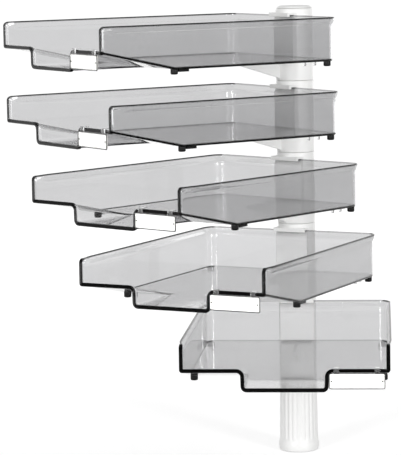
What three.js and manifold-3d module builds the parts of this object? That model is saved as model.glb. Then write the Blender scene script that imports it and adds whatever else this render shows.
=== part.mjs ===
// A swivelling letter-tray tower: smoke-clear trays, each hooked on its own arm, turn round one column.
// Millimetres, +Z up. The origin is on the column's axis at the lower end of its sleeve.
// Inside a tier, x runs to the tray's right and "reach" is the distance in front of the column's axis.

import * as THREE from 'three';
import { mergeVertices } from 'three/addons/utils/BufferGeometryUtils.js';
import Module from 'manifold-3d';

// Fits
const SEAM = 0.4;               // gap between stacked column pieces
const FIT = 0.3;                // gap between pieces that seat on each other

// Column
const COLUMN_R = 25.5;          // outside of the collars, the ring and the cap
const COLUMN_WALL = 3;          // shell of the collars, the ring and the sleeve
const MAST_R = 12;              // steel mast inside the column
const MAST_WALL = 1.5;
const HUB_WALL = 2.2;           // inner hub that runs on the mast
const WEB = 3;                  // disc that joins hub and shell
const WASHER_T = 1.6;
const WASHER_EDGE = 1.2;        // washer's distance from the shell round it
const CAP_H = 3.2;
const CAP_ROUND = 2.4;
const CAP_DOME = 0.4;           // rise of the cap's middle above its round edge
const CAP_PLUG_H = 18;
const ROUND_SIDES = 32;

// Sleeve and ring under the arms
const SLEEVE_H = 97;
const SLEEVE_SPREAD = 1.1;      // how much wider the fluted part is at its lower end
const SLEEVE_BULGE = 1.5;       // swelling above the lower edge
const BULGE_H = 15;
const FLUTE_COUNT = 24;
const FLUTE_DEPTH = 0.8;
const FLUTE_FADE = 3;           // height over which the flutes run out
const SOCKET_STOP_Z = 8;        // underside of the stop that the mast stands on
const SOCKET_STOP_T = 2;
const RING_H = 24.2;

// Tiers
const TIER_PITCH = 97.4;
const FAN_DEG = [55.8, 53.9, 39.8, 24.6, 2.6];   // rest turn of each tray, top tray first
const TRAY_LIFT = 30.4;         // tray floor above the lower end of its collar

// Tray
const TRAY_LENGTH = 359;        // rear wall to front edge
const TRAY_FRONT_W = 257;
const TRAY_REAR_W = 249;
const TRAY_H = 58;
const TRAY_WALL = 2.2;
const TRAY_FLOOR = 2.2;
const CORNER_R = 14;            // upright rear corners
const EDGE_ROUND = 2.5;         // foot of the walls
const RIM_H = 9;                // flared part of the walls
const RIM_FLARE = 3;
const RIM_KNEE_H = 3.5;
const RIM_KNEE = 2;             // flare reached at the knee
const LIP_H = 24.5;
const RAMP_LENGTH = 109;
const RAMP_STEP = 0.1;          // height at which the ramp leaves the floor
const SCOOP_HALF = 53;
const SCOOP_R = 6;
const WALL_NOSE_R = 6;          // rounded front top corner of a wall
const BEAD_DEPTH = 4;           // thick front edge
const BEAD_GROW = 0.9;
const FOOT_R = 4.6;
const FOOT_H = 6.3;
const FOOT_INSET = 6.5;         // foot centre from the wall's outside
const FOOT_FROM_RAMP = 5;       // front foot centre behind the ramp
const REAR_FOOT_INSET = 11;     // rear foot centre from the rear wall
const RUNNER_LENGTH = 18;       // runner behind each front foot
const RUNNER_T = 3;
const RUNNER_H = 1.8;
const PIN_R = 2;
const PIN_H = 5;
const PIN_STEP = 16;
const PIN_INSET = 12;           // pins from the wall's outside

// Arm
const PLATE_W = 46;
const HOOK_T = 2.7;
const HOOK_LIP_T = 3.5;
const HOOK_DROP = 2.3;          // hook lip below the tray's rim
const HOOK_ROOM = 2.5;          // hook lip to the inside of the rear wall
const LEDGE_W = 40;
const LEDGE_REACH = 42;
const LEDGE_T = 3;
const RIB_T = 4;
const RIB_REACH = 104;
const RIB_TIP_H = 3;
const RIB_ROOT_GAP = 3;         // rib root above the collar's lower end
const RIB_FILLET = 3;

// Label
const LABEL_SCOOP_GAP = 1.5;    // holder from the scoop's side
const LABEL_WALL_GAP = 5;       // holder from the wall's outside
const LABEL_H = 20;
const LABEL_DROP = 0.6;         // holder below the lip's bead
const LABEL_CORNER_R = 2.5;
const WINDOW_T = 1.2;
const CARD_T = 0.6;
const CARD_MARGIN = 1;
const SHELF_T = 1;              // shelf that the card stands on
const TAB_W = 7;
const TAB_INSET = 6;
const TAB_T = 1.2;
const TAB_HOOK = 7;             // how far a tab reaches back over the lip

// Sizes that follow
const TIER_COUNT = FAN_DEG.length;
const HUB_R = MAST_R + FIT + HUB_WALL;
const BORE_R = MAST_R + FIT;
const SHELL_R = COLUMN_R - COLUMN_WALL;
const TRAY_BACK = HUB_R + RIM_FLARE + FIT;
const TRAY_FRONT = TRAY_BACK + TRAY_LENGTH;
const RAMP_START = TRAY_FRONT - RAMP_LENGTH;
const COLLAR_H = TIER_PITCH - SEAM;
const WASHER_ROOM = WASHER_T + 2 * FIT;
const WEB_DROP = WASHER_ROOM - SEAM;
const RING_Z = SLEEVE_H + SEAM;
const COLLAR_Z = RING_Z + RING_H + SEAM;
const STACK_TOP = COLLAR_Z + TIER_COUNT * TIER_PITCH - SEAM;
const MAST_Z = SOCKET_STOP_Z + SOCKET_STOP_T + FIT;
const MAST_TOP = STACK_TOP - WEB_DROP;
const REACH_PAST = 20;          // how far cutters run past what they cut

const wasm = await Module();
wasm.setup();

function solid(geometry) {
  const bare = geometry.clone();
  for (const name of Object.keys(bare.attributes)) {
    if (name !== 'position') {
      bare.deleteAttribute(name);
    }
  }
  const merged = mergeVertices(bare, 1e-4);
  const vertProperties = new Float32Array(merged.attributes.position.array);
  const triVerts = new Uint32Array(merged.index.array);
  return new wasm.Manifold(new wasm.Mesh({ numProp: 3, vertProperties, triVerts }));
}

function surface(body) {
  const mesh = body.getMesh();
  const geometry = new THREE.BufferGeometry();
  geometry.setAttribute('position', new THREE.BufferAttribute(mesh.vertProperties.slice(), 3));
  geometry.setIndex(new THREE.BufferAttribute(mesh.triVerts.slice(), 1));
  geometry.computeVertexNormals();
  return geometry;
}

// A box between two corners given as [x, reach, z].
function block(low, high) {
  const geometry = new THREE.BoxGeometry(high[0] - low[0], high[1] - low[1], high[2] - low[2]);
  geometry.translate((low[0] + high[0]) / 2, -(low[1] + high[1]) / 2, (low[2] + high[2]) / 2);
  return solid(geometry);
}

// A closed profile of [radius, z] points, from the inner foot outwards and up, turned round the axis.
function turned(profile, sides = ROUND_SIDES) {
  const closed = [...profile, profile[0]];
  const geometry = new THREE.LatheGeometry(closed.map(([r, z]) => new THREE.Vector2(r, z)), sides);
  geometry.rotateX(Math.PI / 2);
  return geometry;
}

// An upright round peg at [x, reach], from z0 to z1.
function peg(x, reach, radius, z0, z1, sides = 8) {
  const geometry = new THREE.CylinderGeometry(radius, radius, z1 - z0, sides);
  geometry.rotateX(Math.PI / 2);
  geometry.translate(x, -reach, (z0 + z1) / 2);
  return solid(geometry);
}

// A shape drawn in reach and z, carried along x.
function slab(shape, x0, x1) {
  const geometry = new THREE.ExtrudeGeometry(shape, {
    depth: x1 - x0,
    bevelEnabled: false,
    curveSegments: 4,
  });
  const place = new THREE.Matrix4().makeBasis(
    new THREE.Vector3(0, -1, 0),
    new THREE.Vector3(0, 0, 1),
    new THREE.Vector3(-1, 0, 0),
  );
  geometry.applyMatrix4(place);
  geometry.translate(x1, 0, 0);
  return solid(geometry);
}

// Rings of points with the same count, joined by bands and closed by flat ends. Each ring is convex.
function loft(rings) {
  const count = rings[0].length;
  const position = rings.flat().flatMap(([x, reach, z]) => [x, -reach, z]);
  const index = [];
  for (let level = 0; level + 1 < rings.length; level += 1) {
    for (let i = 0; i < count; i += 1) {
      const a = level * count + i;
      const b = level * count + ((i + 1) % count);
      index.push(a, b, b + count, a, b + count, a + count);
    }
  }
  const last = (rings.length - 1) * count;
  for (let i = 1; i + 1 < count; i += 1) {
    index.push(0, i + 1, i);
    index.push(last, last + i, last + i + 1);
  }
  const geometry = new THREE.BufferGeometry();
  geometry.setAttribute('position', new THREE.Float32BufferAttribute(position, 3));
  geometry.setIndex(index);
  return solid(geometry);
}

function arc(centreX, centreY, radius, fromDeg, toDeg, steps) {
  return Array.from({ length: steps + 1 }, (_, i) => {
    const angle = THREE.MathUtils.degToRad(fromDeg + ((toDeg - fromDeg) * i) / steps);
    return [centreX + radius * Math.cos(angle), centreY + radius * Math.sin(angle)];
  });
}

function halfWidth(reach) {
  const share = (reach - TRAY_BACK) / TRAY_LENGTH;
  return (TRAY_REAR_W + (TRAY_FRONT_W - TRAY_REAR_W) * share) / 2;
}

// The tray's outline seen from above, moved outwards by offset, with round rear corners.
function trayRing(offset, front, z) {
  const steps = 4;
  const radius = CORNER_R + offset;
  const cornerX = halfWidth(TRAY_BACK + CORNER_R) - CORNER_R;
  const cornerReach = TRAY_BACK + CORNER_R;
  const right = arc(cornerX, cornerReach, radius, 0, -90, steps);
  const left = right.map(([x, reach]) => [-x, reach]).reverse();
  const wide = halfWidth(front) + offset;
  return [[-wide, front], [wide, front], ...right, ...left].map(([x, reach]) => [x, reach, z]);
}

// The tray's outside as a full block. grow moves every face outwards, and top is the block's height.
function trayBlock(grow, front, top) {
  return loft([
    trayRing(grow - EDGE_ROUND, front, -grow),
    trayRing(grow, front, EDGE_ROUND - grow),
    trayRing(grow, front, TRAY_H - RIM_H),
    trayRing(grow + RIM_KNEE, front, TRAY_H - RIM_H + RIM_KNEE_H),
    trayRing(grow + RIM_FLARE, front, TRAY_H),
    trayRing(grow + RIM_FLARE, front, top),
  ]);
}

// The space inside the tray's walls, open to the top and the front.
function trayRoom(grow) {
  const inset = -TRAY_WALL - grow;
  const front = TRAY_FRONT + REACH_PAST;
  const floor = TRAY_FLOOR + grow;
  return loft([
    trayRing(inset - EDGE_ROUND, front, floor),
    trayRing(inset, front, floor + EDGE_ROUND),
    trayRing(inset, front, TRAY_H - RIM_H),
    trayRing(inset + RIM_KNEE, front, TRAY_H - RIM_H + RIM_KNEE_H),
    trayRing(inset + RIM_FLARE, front, TRAY_H),
    trayRing(inset + RIM_FLARE, front, TRAY_H + REACH_PAST),
  ]);
}

// What lies under one ramp beside the scoop, up to the ramp's surface raised by rise. The section is an S
// from the scoop's floor to the lip, flattened in step with the ramp's height towards its rear end.
function underRamp(side, rise) {
  const foot = arc(SCOOP_HALF - SCOOP_R, SCOOP_R, SCOOP_R - rise, -90, 0, 3);
  const crest = arc(SCOOP_HALF + SCOOP_R, LIP_H - SCOOP_R, SCOOP_R + rise, 180, 90, 3);
  const far = halfWidth(TRAY_FRONT) + REACH_PAST;
  const section = [...foot, ...crest, [far, LIP_H + rise]];
  const below = -REACH_PAST;
  const outline = [...section, [far, below], [section[0][0], below]].map(([x, z]) => [side * x, z]);
  if (side > 0) {
    outline.reverse();
  }
  const flat = outline.map(([x, z]) => new THREE.Vector2(x, z));
  const ring = (reach) => {
    const share = (reach - RAMP_START) / RAMP_LENGTH;
    return outline.map(([x, z]) => [x, reach, z === below ? z : rise + (z - rise) * share]);
  };
  const rear = ring(RAMP_START + (RAMP_LENGTH * RAMP_STEP) / LIP_H);
  const front = ring(TRAY_FRONT + REACH_PAST);
  const count = outline.length;
  const position = [...rear, ...front].flatMap(([x, reach, z]) => [x, -reach, z]);
  const index = [];
  const ends = THREE.ShapeUtils.triangulateShape(flat, []);
  for (const [a, b, c] of ends) {
    index.push(a, c, b);
    index.push(count + a, count + b, count + c);
  }
  for (let i = 0; i < count; i += 1) {
    const j = (i + 1) % count;
    index.push(count + i, i, j, count + i, j, count + j);
  }
  const geometry = new THREE.BufferGeometry();
  geometry.setAttribute('position', new THREE.Float32BufferAttribute(position, 3));
  geometry.setIndex(index);
  return solid(geometry);
}

function wallNoseCut() {
  const shape = new THREE.Shape();
  const back = TRAY_FRONT - WALL_NOSE_R;
  const low = TRAY_H - WALL_NOSE_R;
  shape.moveTo(back, TRAY_H);
  shape.absarc(back, low, WALL_NOSE_R, Math.PI / 2, 0, true);
  shape.lineTo(TRAY_FRONT + REACH_PAST, low);
  shape.lineTo(TRAY_FRONT + REACH_PAST, TRAY_H + REACH_PAST);
  shape.lineTo(back, TRAY_H + REACH_PAST);
  const wide = halfWidth(TRAY_FRONT) + RIM_FLARE + REACH_PAST;
  return slab(shape, -wide, wide);
}

// The tray's shell, thickened by grow on both faces.
function trayShell(grow) {
  let body = trayBlock(grow, TRAY_FRONT, TRAY_H + FIT);
  let room = trayRoom(grow);
  for (const side of [-1, 1]) {
    body = body.subtract(underRamp(side, -grow));
    room = room.subtract(underRamp(side, TRAY_FLOOR + grow));
  }
  const wide = halfWidth(TRAY_FRONT) + REACH_PAST;
  const above = block([-wide, 0, TRAY_H], [wide, TRAY_FRONT + REACH_PAST, TRAY_H + REACH_PAST]);
  return body.subtract(room).subtract(above).subtract(wallNoseCut());
}

function letterTray() {
  const wide = halfWidth(TRAY_FRONT) + REACH_PAST;
  const frontEdge = block([-wide, TRAY_FRONT - BEAD_DEPTH, -REACH_PAST], [wide, TRAY_FRONT, TRAY_H]);
  let tray = trayShell(0).add(trayShell(BEAD_GROW).intersect(frontEdge));
  const intoFloor = TRAY_FLOOR / 2;
  const frontFoot = RAMP_START - FOOT_FROM_RAMP;
  const rearFoot = TRAY_BACK + REAR_FOOT_INSET;
  for (const side of [-1, 1]) {
    for (const reach of [frontFoot, rearFoot]) {
      tray = tray.add(peg(side * (halfWidth(reach) - FOOT_INSET), reach, FOOT_R, -FOOT_H, intoFloor));
    }
    const runnerX = halfWidth(frontFoot - RUNNER_LENGTH) - EDGE_ROUND - RUNNER_T;
    const runnerLeft = side > 0 ? runnerX : -runnerX - RUNNER_T;
    const runnerLow = [runnerLeft, frontFoot - RUNNER_LENGTH, -RUNNER_H];
    tray = tray.add(block(runnerLow, [runnerLeft + RUNNER_T, frontFoot, intoFloor]));
    for (const step of [1, 2]) {
      const reach = rearFoot + step * PIN_STEP;
      tray = tray.add(peg(side * (halfWidth(reach) - PIN_INSET), reach, PIN_R, -PIN_H, intoFloor, 6));
    }
  }
  return surface(tray);
}

// A shell and a hub on one disc, from z = 0 to height. The disc lies drop below the top.
function cupProfile(height, drop) {
  return [
    [BORE_R, 0],
    [HUB_R, 0],
    [HUB_R, height - drop - WEB],
    [SHELL_R, height - drop - WEB],
    [SHELL_R, 0],
    [COLUMN_R, 0],
    [COLUMN_R, height],
    [SHELL_R, height],
    [SHELL_R, height - drop],
    [BORE_R, height - drop],
  ];
}

// The rib under the tray, in reach and z, with a small fillet where it runs into the collar.
function ribShape() {
  const root = SHELL_R + COLUMN_WALL / 2;
  const low = -TRAY_LIFT + RIB_ROOT_GAP;
  const shape = new THREE.Shape();
  shape.moveTo(root, -FIT - LEDGE_T / 2);
  shape.lineTo(root, low - RIB_FILLET / 2);
  shape.lineTo(COLUMN_R, low - RIB_FILLET / 2);
  shape.quadraticCurveTo(COLUMN_R + RIB_FILLET / 3, low, COLUMN_R + RIB_FILLET, low + RIB_FILLET / 3);
  shape.lineTo(RIB_REACH, -FIT - RIB_TIP_H);
  shape.lineTo(RIB_REACH, -FIT);
  shape.lineTo(LEDGE_REACH, -FIT);
  shape.lineTo(LEDGE_REACH, -FIT - LEDGE_T / 2);
  return shape;
}

function swivelArm() {
  const collar = turned(cupProfile(COLLAR_H, WEB_DROP));
  collar.translate(0, 0, -TRAY_LIFT);
  const halfPlate = PLATE_W / 2;
  const hookTop = TRAY_H + FIT + HOOK_T;
  const plateBack = Math.sqrt(Math.max(COLUMN_R ** 2 - halfPlate ** 2, 0));
  const backPlate = block([-halfPlate, plateBack, -FIT - LEDGE_T], [halfPlate, TRAY_BACK, hookTop]);
  const clearOfTray = trayBlock(FIT, TRAY_FRONT, TRAY_H + FIT);
  const lipBack = TRAY_BACK + TRAY_WALL + HOOK_ROOM;
  const hookReach = lipBack + HOOK_LIP_T;
  const hook = block([-halfPlate, plateBack, TRAY_H + FIT], [halfPlate, hookReach, hookTop]);
  const hookLip = block([-halfPlate, lipBack, TRAY_H - HOOK_DROP], [halfPlate, hookReach, hookTop]);
  const ledge = block([-LEDGE_W / 2, plateBack, -FIT - LEDGE_T], [LEDGE_W / 2, LEDGE_REACH, -FIT]);
  const rib = slab(ribShape(), -RIB_T / 2, RIB_T / 2);
  const bore = turned([
    [0, -TRAY_LIFT - REACH_PAST],
    [BORE_R, -TRAY_LIFT - REACH_PAST],
    [BORE_R, COLLAR_H + REACH_PAST],
    [0, COLLAR_H + REACH_PAST],
  ]);
  const body = solid(collar).add(backPlate).subtract(clearOfTray);
  return surface(body.add(hook).add(hookLip).add(ledge).add(rib).subtract(solid(bore)));
}

function labelFrame() {
  const x0 = SCOOP_HALF + LABEL_SCOOP_GAP;
  const x1 = halfWidth(TRAY_FRONT) - LABEL_WALL_GAP;
  const top = LIP_H - BEAD_GROW - LABEL_DROP;
  const back = TRAY_FRONT + FIT;
  return { x0, x1, top, bottom: top - LABEL_H, back };
}

function roundedPlate(x0, x1, z0, z1, radius, reach0, reach1) {
  const shape = new THREE.Shape();
  shape.moveTo(x0 + radius, z0);
  shape.lineTo(x1 - radius, z0);
  shape.absarc(x1 - radius, z0 + radius, radius, -Math.PI / 2, 0, false);
  shape.lineTo(x1, z1 - radius);
  shape.absarc(x1 - radius, z1 - radius, radius, 0, Math.PI / 2, false);
  shape.lineTo(x0 + radius, z1);
  shape.absarc(x0 + radius, z1 - radius, radius, Math.PI / 2, Math.PI, false);
  shape.lineTo(x0, z0 + radius);
  shape.absarc(x0 + radius, z0 + radius, radius, Math.PI, 1.5 * Math.PI, false);
  const geometry = new THREE.ExtrudeGeometry(shape, {
    depth: reach1 - reach0,
    bevelEnabled: false,
    curveSegments: 3,
  });
  geometry.rotateX(Math.PI / 2);
  geometry.translate(0, -reach0, 0);
  return solid(geometry);
}

// A clear window that hangs in front of the lip on two tabs, with a shelf for its card.
function labelHolder() {
  const { x0, x1, top, bottom, back } = labelFrame();
  const window0 = back + CARD_T + FIT;
  const window1 = window0 + WINDOW_T;
  let holder = roundedPlate(x0, x1, bottom, top, LABEL_CORNER_R, window0, window1);
  const shelfX = LABEL_CORNER_R;
  holder = holder.add(block([x0 + shelfX, back, bottom], [x1 - shelfX, window1, bottom + SHELF_T]));
  const lipTop = LIP_H + TRAY_FLOOR + BEAD_GROW + FIT;
  for (const left of [x0 + TAB_INSET, x1 - TAB_INSET - TAB_W]) {
    const right = left + TAB_W;
    const upright = block([left, back, top - TAB_T], [right, window1, lipTop + TAB_T]);
    const over = block([left, TRAY_FRONT - TAB_HOOK, lipTop], [right, window1, lipTop + TAB_T]);
    holder = holder.add(upright).add(over);
  }
  return surface(holder);
}

function labelCard() {
  const { x0, x1, top, bottom, back } = labelFrame();
  const cardTop = top - TAB_T - FIT;
  const low = bottom + SHELF_T + FIT;
  const inside = [x0 + LABEL_CORNER_R + CARD_MARGIN, x1 - LABEL_CORNER_R - CARD_MARGIN];
  return surface(block([inside[0], back, low], [inside[1], back + CARD_T, cardTop]));
}

// The outside of the sleeve: flutes fade into a plain swelling above the lower edge.
function sleeveRadius(z) {
  const taper = SLEEVE_SPREAD * (1 - z / SLEEVE_H);
  const swell = z < BULGE_H ? Math.sin((Math.PI * z) / BULGE_H) : 0;
  return COLUMN_R + taper + SLEEVE_BULGE * swell;
}

function flutedSleeve() {
  const samples = FLUTE_COUNT * 4;
  const fluted = BULGE_H + FLUTE_FADE;
  const heights = [0, 0.15, 0.35, 0.6, 0.85, 1].map((share) => share * BULGE_H);
  heights.push(fluted, SLEEVE_H);
  const rings = heights.map((z) => {
    const depth = z >= fluted ? FLUTE_DEPTH : 0;
    return Array.from({ length: samples }, (_, i) => {
      const angle = (2 * Math.PI * i) / samples;
      const radius = sleeveRadius(z) - (i % 4 < 2 ? 0 : depth);
      return [radius * Math.cos(angle), -radius * Math.sin(angle), z];
    });
  });
  const inside = turned([
    [HUB_R, SOCKET_STOP_Z - REACH_PAST],
    [SHELL_R - FLUTE_DEPTH, SOCKET_STOP_Z - REACH_PAST],
    [SHELL_R - FLUTE_DEPTH, SLEEVE_H - WEB],
    [HUB_R, SLEEVE_H - WEB],
  ]);
  const below = turned([
    [0, -REACH_PAST],
    [HUB_R + FIT, -REACH_PAST],
    [HUB_R + FIT, SOCKET_STOP_Z],
    [0, SOCKET_STOP_Z],
  ]);
  const bore = turned([
    [0, SOCKET_STOP_Z + SOCKET_STOP_T],
    [BORE_R, SOCKET_STOP_Z + SOCKET_STOP_T],
    [BORE_R, SLEEVE_H + REACH_PAST],
    [0, SLEEVE_H + REACH_PAST],
  ]);
  const socket = turned([
    [0, -REACH_PAST],
    [MAST_R - MAST_WALL, -REACH_PAST],
    [MAST_R - MAST_WALL, SLEEVE_H],
    [0, SLEEVE_H],
  ]);
  let body = starLoft(rings);
  for (const cut of [inside, below, bore, socket]) {
    body = body.subtract(solid(cut));
  }
  return surface(body);
}

// Rings round the axis, closed by a fan from the axis at both ends.
function starLoft(rings) {
  const count = rings[0].length;
  const points = rings.flat();
  points.push([0, 0, rings[0][0][2]], [0, 0, rings[rings.length - 1][0][2]]);
  const position = points.flatMap(([x, reach, z]) => [x, -reach, z]);
  const index = [];
  for (let level = 0; level + 1 < rings.length; level += 1) {
    for (let i = 0; i < count; i += 1) {
      const a = level * count + i;
      const b = level * count + ((i + 1) % count);
      index.push(a, b, b + count, a, b + count, a + count);
    }
  }
  const last = (rings.length - 1) * count;
  for (let i = 0; i < count; i += 1) {
    const j = (i + 1) % count;
    index.push(points.length - 2, j, i);
    index.push(points.length - 1, last + i, last + j);
  }
  const geometry = new THREE.BufferGeometry();
  geometry.setAttribute('position', new THREE.Float32BufferAttribute(position, 3));
  geometry.setIndex(index);
  return solid(geometry);
}

function baseRing() {
  return turned(cupProfile(RING_H, WEB_DROP));
}

function mastTube() {
  const inside = MAST_R - MAST_WALL;
  return turned([[inside, MAST_Z], [MAST_R, MAST_Z], [MAST_R, MAST_TOP], [inside, MAST_TOP]]);
}

function glideWasher() {
  const outer = SHELL_R - WASHER_EDGE;
  return turned([[BORE_R, 0], [outer, 0], [outer, WASHER_T], [BORE_R, WASHER_T]]);
}

// A domed head whose plug stands in the mast. Its underside lies on the top washer.
function columnCap() {
  const plug = MAST_R - MAST_WALL - FIT;
  const crown = arc(COLUMN_R - CAP_ROUND, CAP_H - CAP_ROUND, CAP_ROUND, 0, 80, 3);
  return turned([
    [0, -CAP_PLUG_H],
    [plug, -CAP_PLUG_H],
    [plug, 0],
    [COLUMN_R, 0],
    ...crown,
    [COLUMN_R / 2, CAP_H + CAP_DOME * 0.6],
    [0, CAP_H + CAP_DOME],
  ]);
}

const FINISHES = {
  whitePlastic: { color: 0xf1f1ef, roughness: 0.4, metalness: 0 },
  smokeClear: { color: 0xb9b9bb, roughness: 0.08, metalness: 0, transparent: true, opacity: 0.45 },
  clear: { color: 0xe6e8ea, roughness: 0.08, metalness: 0, transparent: true, opacity: 0.3 },
  card: { color: 0xfbfbf8, roughness: 0.85, metalness: 0 },
  steel: { color: 0xb6b8ba, roughness: 0.35, metalness: 1 },
  slip: { color: 0xe9e6dc, roughness: 0.5, metalness: 0 },
};

function piece(name, geometry, finish) {
  const mesh = new THREE.Mesh(geometry, new THREE.MeshStandardMaterial(FINISHES[finish]));
  mesh.name = name;
  return mesh;
}

const tower = new THREE.Group();
tower.name = 'letter_tray_tower';

tower.add(piece('fluted_sleeve', flutedSleeve(), 'whitePlastic'));
tower.add(piece('mast_tube', mastTube(), 'steel'));

const ring = piece('base_ring', baseRing(), 'whitePlastic');
ring.position.z = RING_Z;
tower.add(ring);

const cap = piece('column_cap', columnCap(), 'whitePlastic');
cap.position.z = STACK_TOP + SEAM;
tower.add(cap);

// One washer lies on the ring and one on each collar, sunk below the shell's edge.
for (let i = 0; i <= TIER_COUNT; i += 1) {
  const washer = piece(`glide_washer_${i + 1}`, glideWasher(), 'slip');
  washer.position.z = COLLAR_Z - SEAM + i * TIER_PITCH - WEB_DROP + FIT;
  tower.add(washer);
}

for (let i = 0; i < TIER_COUNT; i += 1) {
  const tier = new THREE.Group();
  const below = TIER_COUNT - 1 - i;
  tier.position.z = COLLAR_Z + below * TIER_PITCH + TRAY_LIFT;
  tier.rotation.z = THREE.MathUtils.degToRad(-FAN_DEG[i]);
  tier.add(piece(`swivel_arm_${i + 1}`, swivelArm(), 'whitePlastic'));
  tier.add(piece(`letter_tray_${i + 1}`, letterTray(), 'smokeClear'));
  tier.add(piece(`label_holder_${i + 1}`, labelHolder(), 'clear'));
  tier.add(piece(`label_card_${i + 1}`, labelCard(), 'card'));
  tower.add(tier);
}

export default tower;
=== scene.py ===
# %% [markdown]
# A tower of letter trays that swing round one column. Every tray is a thin moulded shell of smoke-tinted
# plastic that hangs on a white arm, and each arm's collar is one length of the column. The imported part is
# loaded first, because every new surface below is laid over one of its nodes and rides on one of its bodies.

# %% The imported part
import math

import bmesh
import bpy
import numpy as np
from mathutils import Matrix


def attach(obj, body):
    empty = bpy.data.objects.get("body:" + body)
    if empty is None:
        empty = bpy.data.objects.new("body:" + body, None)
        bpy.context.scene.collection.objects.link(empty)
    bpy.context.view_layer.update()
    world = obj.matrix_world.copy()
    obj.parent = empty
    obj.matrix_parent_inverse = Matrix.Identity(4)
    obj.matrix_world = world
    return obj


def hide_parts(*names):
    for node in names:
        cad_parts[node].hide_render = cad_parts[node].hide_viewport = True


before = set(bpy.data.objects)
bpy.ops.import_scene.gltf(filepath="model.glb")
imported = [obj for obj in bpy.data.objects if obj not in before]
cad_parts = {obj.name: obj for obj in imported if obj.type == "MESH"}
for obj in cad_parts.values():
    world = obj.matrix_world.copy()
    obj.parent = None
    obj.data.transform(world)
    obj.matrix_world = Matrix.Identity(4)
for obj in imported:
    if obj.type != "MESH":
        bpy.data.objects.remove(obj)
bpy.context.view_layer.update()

# %% [markdown]
# The camera stands where the photograph was taken: a long lens, a little above the top tray, looking slightly
# down. A turn matrix could come from Euler angles, but writing the three axes out keeps each turn readable.
# The focal length is known in pixels of the 455 pixel tall frame, so it is turned to millimetres of sensor.

# %% Camera
CAMERA_AT = (0.0, -3.3486, 0.722)
CAMERA_TURN_DEG = (-2.2543, 7.0057, 0.9529)
FOCAL_PIXELS = 2458.8
FRAME_PIXELS = 455
SENSOR_MM = 36.0
CLIP_END_M = 200.0

yaw, pitch, roll = np.radians(CAMERA_TURN_DEG)
level = np.array([math.cos(yaw), -math.sin(yaw), 0.0])
ahead = np.array([math.cos(pitch) * math.sin(yaw), math.cos(pitch) * math.cos(yaw), -math.sin(pitch)])
above = np.array([math.sin(pitch) * math.sin(yaw), math.sin(pitch) * math.cos(yaw), math.cos(pitch)])
image_x = math.cos(roll) * level - math.sin(roll) * above
image_y = math.sin(roll) * level + math.cos(roll) * above

camera = bpy.data.objects.new("camera", bpy.data.cameras.new("camera"))
camera.data.sensor_width = SENSOR_MM
camera.data.lens = FOCAL_PIXELS * SENSOR_MM / FRAME_PIXELS
camera.data.clip_end = CLIP_END_M
turn = Matrix(np.stack([image_x, image_y, -ahead], axis=1).tolist()).to_4x4()
camera.matrix_world = Matrix.Translation(CAMERA_AT) @ turn
bpy.context.scene.collection.objects.link(camera)
bpy.context.scene.camera = camera
bpy.context.scene.view_settings.view_transform = "Standard"
print("lens in millimetres:", round(camera.data.lens, 2))

# %% [markdown]
# Colours are easiest to read as the hex values of a paint program, which are sRGB. Blender's shaders work in
# linear light, so one function turns them over. A second one adds a node: its settings are properties of the
# node, and its inputs are either plain values or the output of an earlier node, which is then linked. A Mix
# node of two colours has them at its inputs 6 and 7 and the result at its output 2, so these get names.

# %% Colour and node helpers
MIX_A, MIX_B, MIX_OUT = 6, 7, 2


def linear(code):
    """sRGB hex to linear RGBA: below 0.04045 a straight line, above it a power of 2.4."""
    share = np.array([int(code[i:i + 2], 16) for i in (1, 3, 5)]) / 255
    light = np.where(share <= 0.04045, share / 12.92, ((share + 0.055) / 1.055) ** 2.4)
    return (*light.tolist(), 1.0)


def add(tree, kind, inputs=None, **settings):
    """Adds a node, sets its properties, and fills or links its inputs by name or number."""
    node = tree.nodes.new(kind)
    for name, value in settings.items():
        setattr(node, name, value)
    for name, value in (inputs or {}).items():
        if isinstance(value, bpy.types.NodeSocket):
            tree.links.new(value, node.inputs[name])
        else:
            node.inputs[name].default_value = value
    return node


def start_material(name):
    """A material with an empty node tree and an output, and the object coordinates in metres."""
    material = bpy.data.materials.new(name)
    material.use_nodes = True
    tree = material.node_tree
    tree.nodes.clear()
    output = add(tree, "ShaderNodeOutputMaterial")
    place = add(tree, "ShaderNodeTexCoord").outputs["Object"]
    return material, tree, output, place


def per_mm(size_mm):
    """Texture scale whose pattern repeats about every size_mm, because coordinates are in metres."""
    return 1000.0 / size_mm


print("helpers ready; mid grey is", round(linear("#808080")[0], 3))

# %% [markdown]
# The trays are crystal polystyrene with a smoke tint, injection moulded and glossy on both faces. A flat wall
# lets a little more than half of the light through. Most of that tint is the colour of its two faces, and a
# smaller part is absorption in the volume, which grows with the way through the plastic. A number on each
# point, called edge, says where a thick or cut edge traps light. There shade is painted: the plastic's colour
# turns nearly black and its mirror is dimmed. Slow flow marks of the moulding, some 45 mm across, vary the
# gloss and bend the surface a little. Rays that look for a lamp go straight through, so that what stands
# behind the plastic is lit as well.

# %% Smoke-clear polystyrene
SMOKE_DENSITY = 60.0
POLYSTYRENE_IOR = 1.59
EDGE_NAME = "edge"


def let_lamps_by(tree, shader, tint):
    """The shader for every ray but those that look for a lamp, which pass straight on with a tint."""
    ray = add(tree, "ShaderNodeLightPath")
    straight = add(tree, "ShaderNodeBsdfTransparent", {"Color": linear(tint)})
    return add(tree, "ShaderNodeMixShader", {
        0: ray.outputs["Is Shadow Ray"], 1: shader.outputs["BSDF"], 2: straight.outputs["BSDF"],
    }).outputs["Shader"]


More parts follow.
